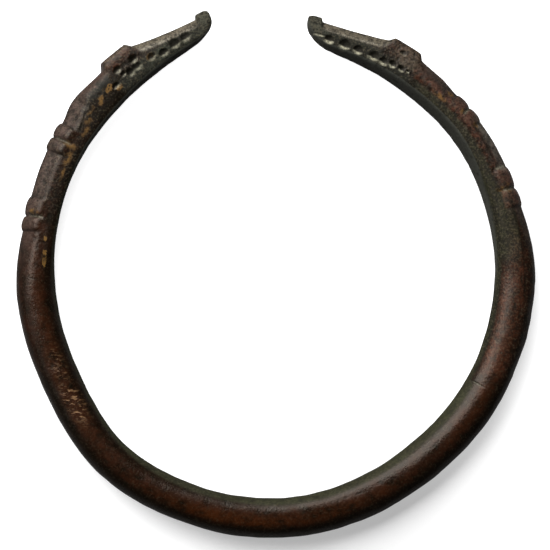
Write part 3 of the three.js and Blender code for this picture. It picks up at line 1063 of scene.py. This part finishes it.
class BraceletSettings(bpy.types.PropertyGroup):
    """What can be set for the bracelet."""

    slack: bpy.props.FloatProperty(
        name="Slack",
        description="How far the skin keeps inside the packed part's box",
        default=0.00001,
        unit="LENGTH",
    )
    bronze: bpy.props.FloatVectorProperty(
        name="Bronze",
        description="The brown of the bare metal",
        default=colour(26, 13, 6),
        size=4,
        subtype="COLOR",
    )
    rust: bpy.props.FloatVectorProperty(
        name="Rust",
        description="The reddish brown of the bar and ribs",
        default=colour(42, 18, 7),
        size=4,
        subtype="COLOR",
    )
    patina: bpy.props.FloatVectorProperty(
        name="Patina",
        description="The olive of the inner slopes",
        default=colour(38, 40, 24),
        size=4,
        subtype="COLOR",
    )
    # The worn tone also stands in for the sheen on the necks' outer slopes: a painted sheen.
    worn: bpy.props.FloatVectorProperty(
        name="Worn",
        description="The pale tone of the worn outer faces",
        default=colour(86, 72, 66),
        size=4,
        subtype="COLOR",
    )
    earth: bpy.props.FloatVectorProperty(
        name="Earth",
        description="The ochre earth that sticks to the metal",
        default=colour(90, 65, 30),
        size=4,
        subtype="COLOR",
    )


class StudioSettings(bpy.types.PropertyGroup):
    """What can be set for the table, lights and camera."""

    key_power: bpy.props.FloatProperty(
        name="Key power", description="Power of the large light at the back left", default=12.6, unit="POWER"
    )
    fill_power: bpy.props.FloatProperty(
        name="Fill power", description="Power of the light at the left", default=0.4, unit="POWER"
    )
    world: bpy.props.FloatProperty(name="World", description="Brightness of the surroundings", default=0.06)
    distance: bpy.props.FloatProperty(
        name="Distance", description="From the camera to the bracelet", default=0.45, unit="LENGTH"
    )
    lean: bpy.props.FloatProperty(
        name="Lean",
        description="How far the camera leans from straight above",
        default=math.radians(8.5),
        subtype="ANGLE",
    )
    towards: bpy.props.FloatProperty(
        name="Towards",
        description="The direction that the camera leans to, counter-clockwise from +X",
        default=math.radians(210),
        subtype="ANGLE",
    )
    aim: bpy.props.FloatVectorProperty(
        name="Aim",
        description="The place that the camera looks at",
        default=(-0.00057, -0.00024, 0.0029),
        subtype="TRANSLATION",
    )
    across: bpy.props.FloatProperty(
        name="Across", description="Width of the view at the bracelet", default=0.0854, unit="LENGTH"
    )


class BRACELET_OT_cast(bpy.types.Operator):
    """Build the cast bronze hoop with its heads"""

    bl_idname = "bracelet.cast"
    bl_label = "Bronze hoop"

    def execute(self, context):
        settings = context.scene.bracelet_settings
        points, masks = hoop_skin()
        flat = points.reshape(-1, 3)
        points = points - (flat.min(0) + flat.max(0)) / 2
        points[..., 2] -= points[..., 2].min()
        points = points * MM
        low, high = (np.array(corner) for corner in CAD_BOX)
        points = np.clip(points, low + settings.slack, high - settings.slack)
        points[..., 2] = np.where(points[..., 2] < 2 * settings.slack, low[2], points[..., 2])
        mesh = grid_mesh("bracelet_skin", points, masks)
        mesh.materials.append(bronze_material(settings))
        piece = bpy.data.objects.new("bracelet_skin", mesh)
        context.scene.collection.objects.link(piece)
        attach(piece, "root")
        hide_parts("bracelet")
        return {"FINISHED"}


class BRACELET_OT_studio(bpy.types.Operator):
    """Set up the white table, the lights and the camera"""

    bl_idname = "bracelet.studio"
    bl_label = "Table, lights and camera"

    def execute(self, context):
        settings = context.scene.studio_settings
        add_table()
        add_light("key", (-0.24, 0.38, 0.42), (0.74, 0.56), settings.key_power)
        add_light("fill", (-0.5, -0.05, 0.3), (0.35, 0.35), settings.fill_power)
        add_world(settings.world)
        add_camera(settings)
        return {"FINISHED"}


class BRACELET_PT_panel(bpy.types.Panel):
    """Lists what the add-on builds"""

    bl_label = "Bronze bracelet"
    bl_idname = "BRACELET_PT_panel"
    bl_space_type = "VIEW_3D"
    bl_region_type = "UI"
    bl_category = "Bracelet"

    def draw(self, context):
        for operator in OPERATORS:
            self.layout.operator(operator.bl_idname)


OPERATORS = (BRACELET_OT_cast, BRACELET_OT_studio)
CLASSES = (BraceletSettings, StudioSettings, *OPERATORS, BRACELET_PT_panel)


def register():
    for cls in CLASSES:
        bpy.utils.register_class(cls)
    bpy.types.Scene.bracelet_settings = bpy.props.PointerProperty(type=BraceletSettings)
    bpy.types.Scene.studio_settings = bpy.props.PointerProperty(type=StudioSettings)


def unregister():
    del bpy.types.Scene.studio_settings
    del bpy.types.Scene.bracelet_settings
    for cls in reversed(CLASSES):
        bpy.utils.unregister_class(cls)


def main():
    register()
    bpy.ops.bracelet.cast()
    bpy.ops.bracelet.studio()
    bpy.context.scene.view_settings.view_transform = "Standard"


if __name__ == "__main__":
    main()
